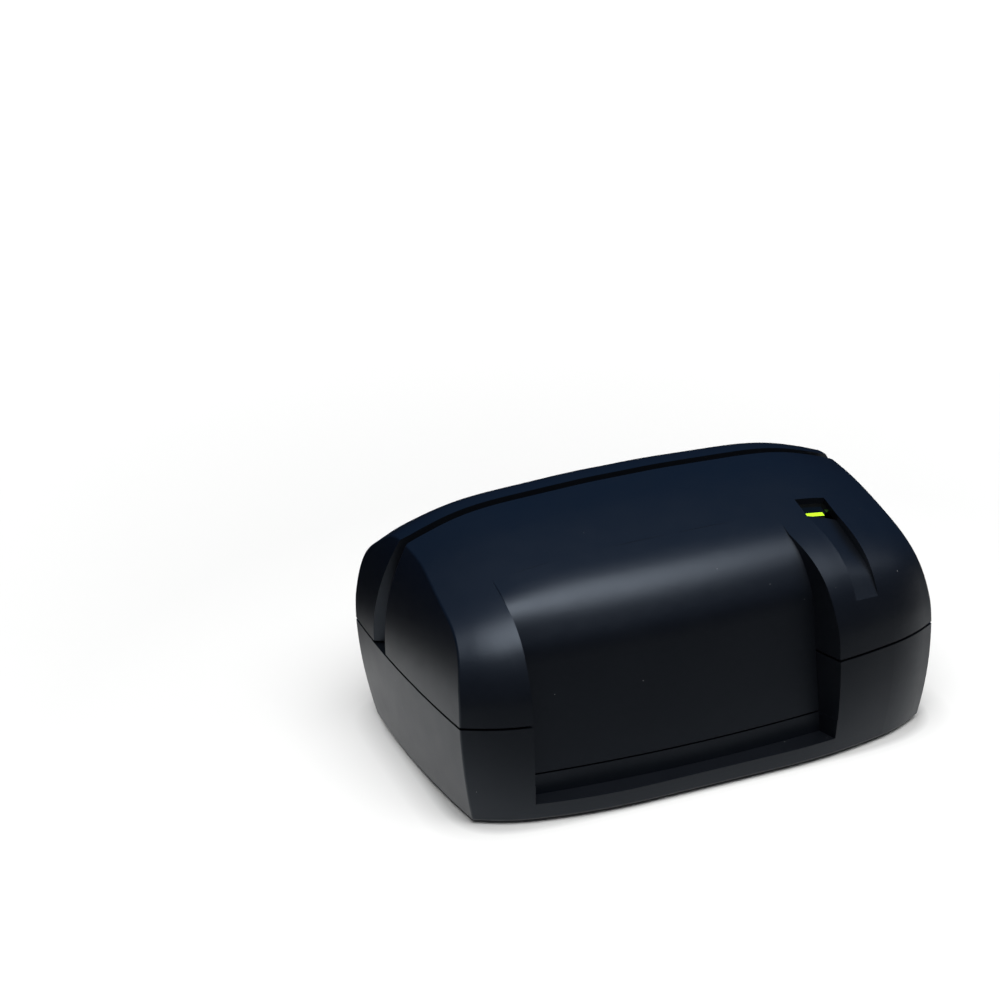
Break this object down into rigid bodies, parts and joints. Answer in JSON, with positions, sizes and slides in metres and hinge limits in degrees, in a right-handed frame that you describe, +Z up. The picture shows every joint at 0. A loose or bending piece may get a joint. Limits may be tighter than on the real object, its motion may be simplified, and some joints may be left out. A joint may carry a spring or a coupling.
{
  "type": "cheque scanner",
  "caption": "Table-top cheque scanner: a tapered base and two arched covers with a document slot between them, and a motor-driven roller, reading head and optical reader inside",
  "frame": {"origin": "on the table, under the middle of the housing", "axes": "+X along the document slot to the indicator side, -Y to the front with the recessed panel, +Z up"},
  "size_m": [0.1004, 0.0642, 0.0473],
  "materials": {
    "housing": "fine satin moulded ABS",
    "sheet_steel": "zinc-plated sheet",
    "circuit_board": "solder mask",
    "black_resin": "matte",
    "pale_plastic": "satin",
    "can_aluminium": "drawn can",
    "plated_shell": "nickel plate",
    "shaft_steel": "ground",
    "brass_gear": "machined",
    "gear_plastic": "acetal",
    "roller_rubber": "ground rubber",
    "head_metal": "lapped face",
    "reader_glass": "polished",
    "dark_lens": "smoked, polished",
    "clear_green": "clear, lit green",
    "foot_rubber": "matte",
    "screw_steel": "plated"
  },
  "bodies": {
    "root": {"base_casing": "housing", "board_capacitor": "can_aluminium", "chassis": "sheet_steel", "chassis_screw_1": "screw_steel", "chassis_screw_2": "screw_steel", "chassis_screw_3": "screw_steel", "chassis_screw_4": "screw_steel", "controller_chip": "black_resin", "cover_screw_1": "screw_steel", "cover_screw_2": "screw_steel", "cover_screw_3": "screw_steel", "cover_screw_4": "screw_steel", "data_socket": "plated_shell", "document_track": "housing", "driver_chip": "black_resin", "entry_sensor": "black_resin", "exit_sensor": "black_resin", "front_cover": "housing", "head_carrier": "black_resin", "idler_clip": "shaft_steel", "idler_pin": "shaft_steel", "indicator_board": "circuit_board", "indicator_lamp": "pale_plastic", "indicator_lens": "dark_lens", "light_guide": "clear_green", "lower_bush": "brass_gear", "magnetic_head": "head_metal", "main_board": "circuit_board", "memory_chip": "black_resin", "motor_can": "plated_shell", "motor_cap": "pale_plastic", "optical_reader": "black_resin", "pinch_pivot": "shaft_steel", "pinch_spring": "shaft_steel", "pressure_pivot": "shaft_steel", "pressure_spring": "shaft_steel", "reader_connector": "pale_plastic", "reader_glass": "reader_glass", "rear_cover": "housing", "roller_bridge": "sheet_steel", "rubber_foot_1": "foot_rubber", "rubber_foot_2": "foot_rubber", "rubber_foot_3": "foot_rubber", "rubber_foot_4": "foot_rubber", "upper_bush": "brass_gear"},
    "drive": {"drive_gear": "gear_plastic", "drive_shaft": "shaft_steel", "roller_core": "gear_plastic", "drive_tyre": "roller_rubber"},
    "idler": {"idler_gear": "gear_plastic"},
    "motor_rotor": {"motor_shaft": "shaft_steel", "motor_pinion": "brass_gear"},
    "pinch_arm": {"pinch_arm": "black_resin", "pinch_axle": "shaft_steel"},
    "pinch_roller": {"pinch_roller": "roller_rubber"},
    "pressure_arm": {"pressure_arm": "black_resin", "pressure_axle": "shaft_steel"},
    "pressure_roller": {"pressure_roller": "roller_rubber"}
  },
  "joints": [
    {"name": "drive_spin", "type": "hinge", "parent": "root", "child": "drive", "pos_m": [0.026, 0.00443, 0.0303], "axis": [0, 0, 1], "continuous": true},
    {"name": "idler_spin", "type": "hinge", "parent": "root", "child": "idler", "pos_m": [0.01791, -0.00713, 0.0168], "axis": [0, 0, 1], "continuous": true},
    {"name": "motor_spin", "type": "hinge", "parent": "root", "child": "motor_rotor", "pos_m": [0.00516, -0.01054, 0.0288], "axis": [0, 0, 1], "continuous": true},
    {"name": "pinch_arm_swing", "type": "hinge", "parent": "root", "child": "pinch_arm", "pos_m": [0.035, 0.02142, 0.0303], "axis": [0, 0, -1], "range_deg": [0, 6], "stiffness_Nm_per_rad": 0.003, "springref_deg": -11.46, "deforming": ["pinch_spring"]},
    {"name": "pinch_roller_spin", "type": "hinge", "parent": "pinch_arm", "child": "pinch_roller", "pos_m": [0.026, 0.01572, 0.0303], "axis": [0, 0, 1], "continuous": true},
    {"name": "pressure_arm_swing", "type": "hinge", "parent": "root", "child": "pressure_arm", "pos_m": [0.008, 0.02142, 0.0303], "axis": [0, 0, -1], "range_deg": [0, 6], "stiffness_Nm_per_rad": 0.003, "springref_deg": -11.46, "deforming": ["pressure_spring"]},
    {"name": "pressure_roller_spin", "type": "hinge", "parent": "pressure_arm", "child": "pressure_roller", "pos_m": [-0.002, 0.01562, 0.0303], "axis": [0, 0, 1], "continuous": true}
  ],
  "couplings": [
    {"joint": "idler_spin", "follows": "drive_spin", "ratio": -2.9167},
    {"joint": "motor_spin", "follows": "drive_spin", "ratio": 7.7778}
  ]
}
